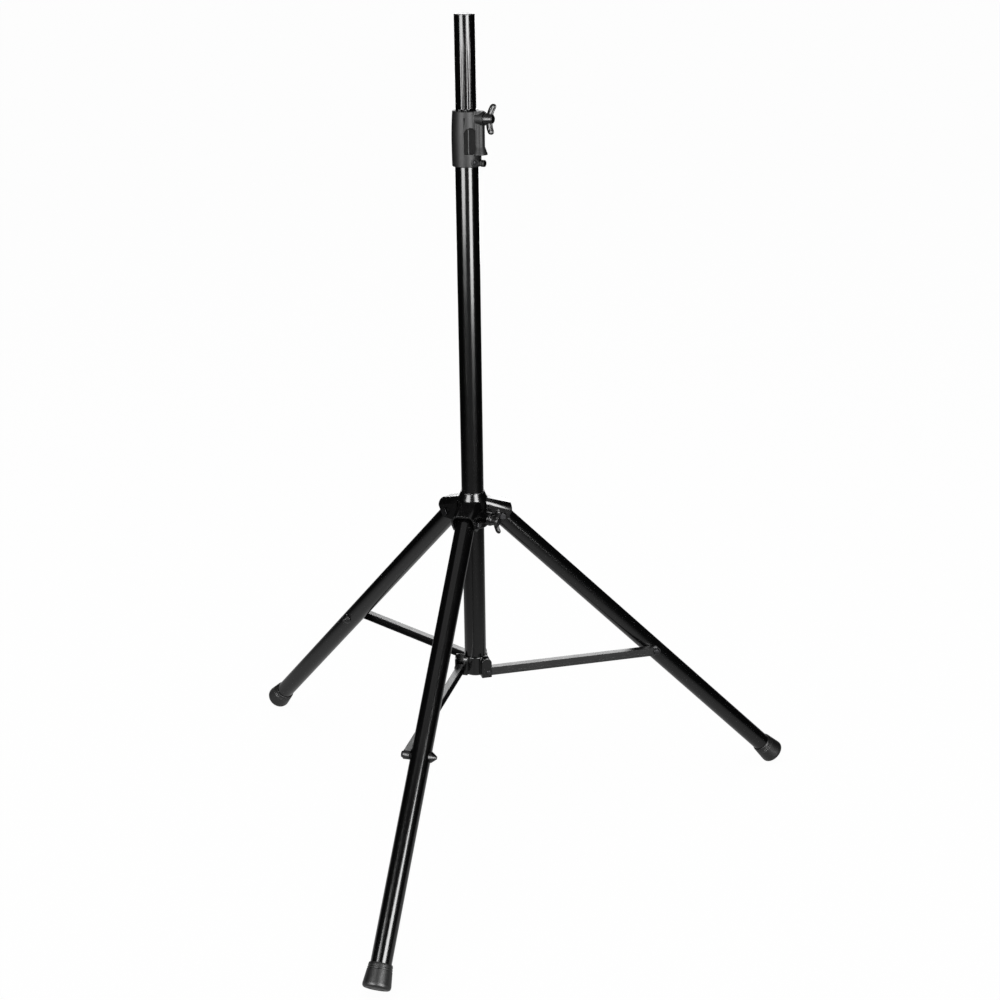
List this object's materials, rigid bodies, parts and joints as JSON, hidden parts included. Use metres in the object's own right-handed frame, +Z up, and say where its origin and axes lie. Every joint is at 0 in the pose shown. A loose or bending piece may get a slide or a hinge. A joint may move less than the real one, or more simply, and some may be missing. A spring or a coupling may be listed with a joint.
{
  "type": "speaker tripod stand",
  "caption": "Telescopic loudspeaker pole on folding tripod legs: sliding hub, side braces, clamping collar with wing knob, rubber feet.",
  "frame": {"origin": "on the floor, on the column's axis", "axes": "+Z up the column; the front leg points along -Y, the other two along +X+Y and -X+Y"},
  "size_m": [1.1066, 0.9647, 1.47],
  "materials": {
    "gloss_black_tube": "gloss black powder coat",
    "satin_black_tube": "satin black powder coat",
    "grey_strut": "satin dark grey coat",
    "black_metal": "semi-gloss black coat",
    "grey_plastic": "moulded, fine texture",
    "black_plastic": "moulded black",
    "natural_nylon": "natural nylon",
    "steel": "zinc plated",
    "brass": "turned",
    "rubber": "moulded rubber"
  },
  "bodies": {
    "column": {"main_tube": "gloss_black_tube", "tube_end_plug": "black_plastic", "brace_bracket": "black_metal", "bracket_rivets": "steel", "height_collar": "grey_plastic", "collar_bushing": "natural_nylon", "collar_screws": "steel", "collar_insert": "brass", "collar_pad": "brass"},
    "pole": {"sliding_pole": "gloss_black_tube", "pole_cap": "black_plastic", "pole_guide_bush": "natural_nylon"},
    "collar_knob": {"collar_wing_knob": "black_plastic", "collar_knob_stud": "steel"},
    "lock_pin": {"lock_pin": "steel", "lock_pin_head": "black_plastic"},
    "hub": {"hub_sleeve": "black_metal", "hub_bushing": "black_plastic", "hub_pad": "brass", "leg_bracket_right": "black_metal", "leg_bracket_left": "black_metal", "leg_bracket_front": "black_metal", "leg_pivot_bolts": "steel", "leg_pivot_nuts": "steel"},
    "hub_knob": {"hub_wing_knob": "black_plastic", "hub_knob_stud": "steel"},
    "leg_right": {"leg_tube_right": "satin_black_tube", "leg_plug_right": "black_plastic", "foot_right": "rubber", "leg_joint_nut_right": "black_plastic"},
    "brace_right": {"brace_right": "grey_strut", "brace_bolt_right": "steel"},
    "leg_left": {"leg_tube_left": "satin_black_tube", "leg_plug_left": "black_plastic", "foot_left": "rubber", "leg_joint_nut_left": "black_plastic"},
    "brace_left": {"brace_left": "grey_strut", "brace_bolt_left": "steel"},
    "leg_front": {"leg_tube_front": "satin_black_tube", "leg_plug_front": "black_plastic", "foot_front": "rubber", "leg_joint_nut_front": "black_plastic"},
    "brace_front": {"brace_front": "grey_strut", "brace_bolt_front": "steel"}
  },
  "joints": [
    {"name": "pole_slide", "type": "slide", "parent": "column", "child": "pole", "axis": [0, 0, 1], "range_m": [-0.15, 0.65]},
    {"name": "hub_slide", "type": "slide", "parent": "column", "child": "hub", "axis": [0, 0, 1], "range_m": [0, 0.4587]},
    {"name": "collar_knob_turn", "type": "hinge", "parent": "column", "child": "collar_knob", "pos_m": [0.03864, -0.01035, 1.3025], "axis": [0.9659, -0.2588, 0], "range_deg": [0, 720]},
    {"name": "lock_pin_push", "type": "slide", "parent": "column", "child": "lock_pin", "axis": [-0.9659, 0.2588, 0], "range_m": [0, 0.003]},
    {"name": "hub_knob_turn", "type": "hinge", "parent": "hub", "child": "hub_knob", "pos_m": [0.04763, -0.0275, 0.59803], "axis": [0.866, -0.5, 0], "range_deg": [0, 720]},
    {"name": "leg_fold_right", "type": "hinge", "parent": "hub", "child": "leg_right", "pos_m": [0.0433, 0.025, 0.59503], "axis": [-0.5, 0.866, 0], "range_deg": [0, 44.42]},
    {"name": "brace_swing_right", "type": "hinge", "parent": "column", "child": "brace_right", "pos_m": [0.02692, -0.01263, 0.2923], "axis": [0.5, -0.866, 0], "range_deg": [0, 85.05]},
    {"name": "leg_fold_left", "type": "hinge", "parent": "hub", "child": "leg_left", "pos_m": [-0.0433, 0.025, 0.59503], "axis": [-0.5, -0.866, 0], "range_deg": [0, 44.42]},
    {"name": "brace_swing_left", "type": "hinge", "parent": "column", "child": "brace_left", "pos_m": [-0.00252, 0.02963, 0.2923], "axis": [0.5, 0.866, 0], "range_deg": [0, 85.05]},
    {"name": "leg_fold_front", "type": "hinge", "parent": "hub", "child": "leg_front", "pos_m": [0, -0.05, 0.59503], "axis": [1, 0, 0], "range_deg": [0, 44.42]},
    {"name": "brace_swing_front", "type": "hinge", "parent": "column", "child": "brace_front", "pos_m": [-0.0244, -0.017, 0.2923], "axis": [-1, 0, 0], "range_deg": [0, 85.05]}
  ],
  "couplings": [
    {"joint": "leg_fold_right", "follows": "hub_slide", "rad_per_m": 1.6894},
    {"joint": "brace_swing_right", "follows": "hub_slide", "rad_per_m": 3.2354},
    {"joint": "leg_fold_left", "follows": "hub_slide", "rad_per_m": 1.6894},
    {"joint": "brace_swing_left", "follows": "hub_slide", "rad_per_m": 3.2354},
    {"joint": "leg_fold_front", "follows": "hub_slide", "rad_per_m": 1.6894},
    {"joint": "brace_swing_front", "follows": "hub_slide", "rad_per_m": 3.2354}
  ]
}
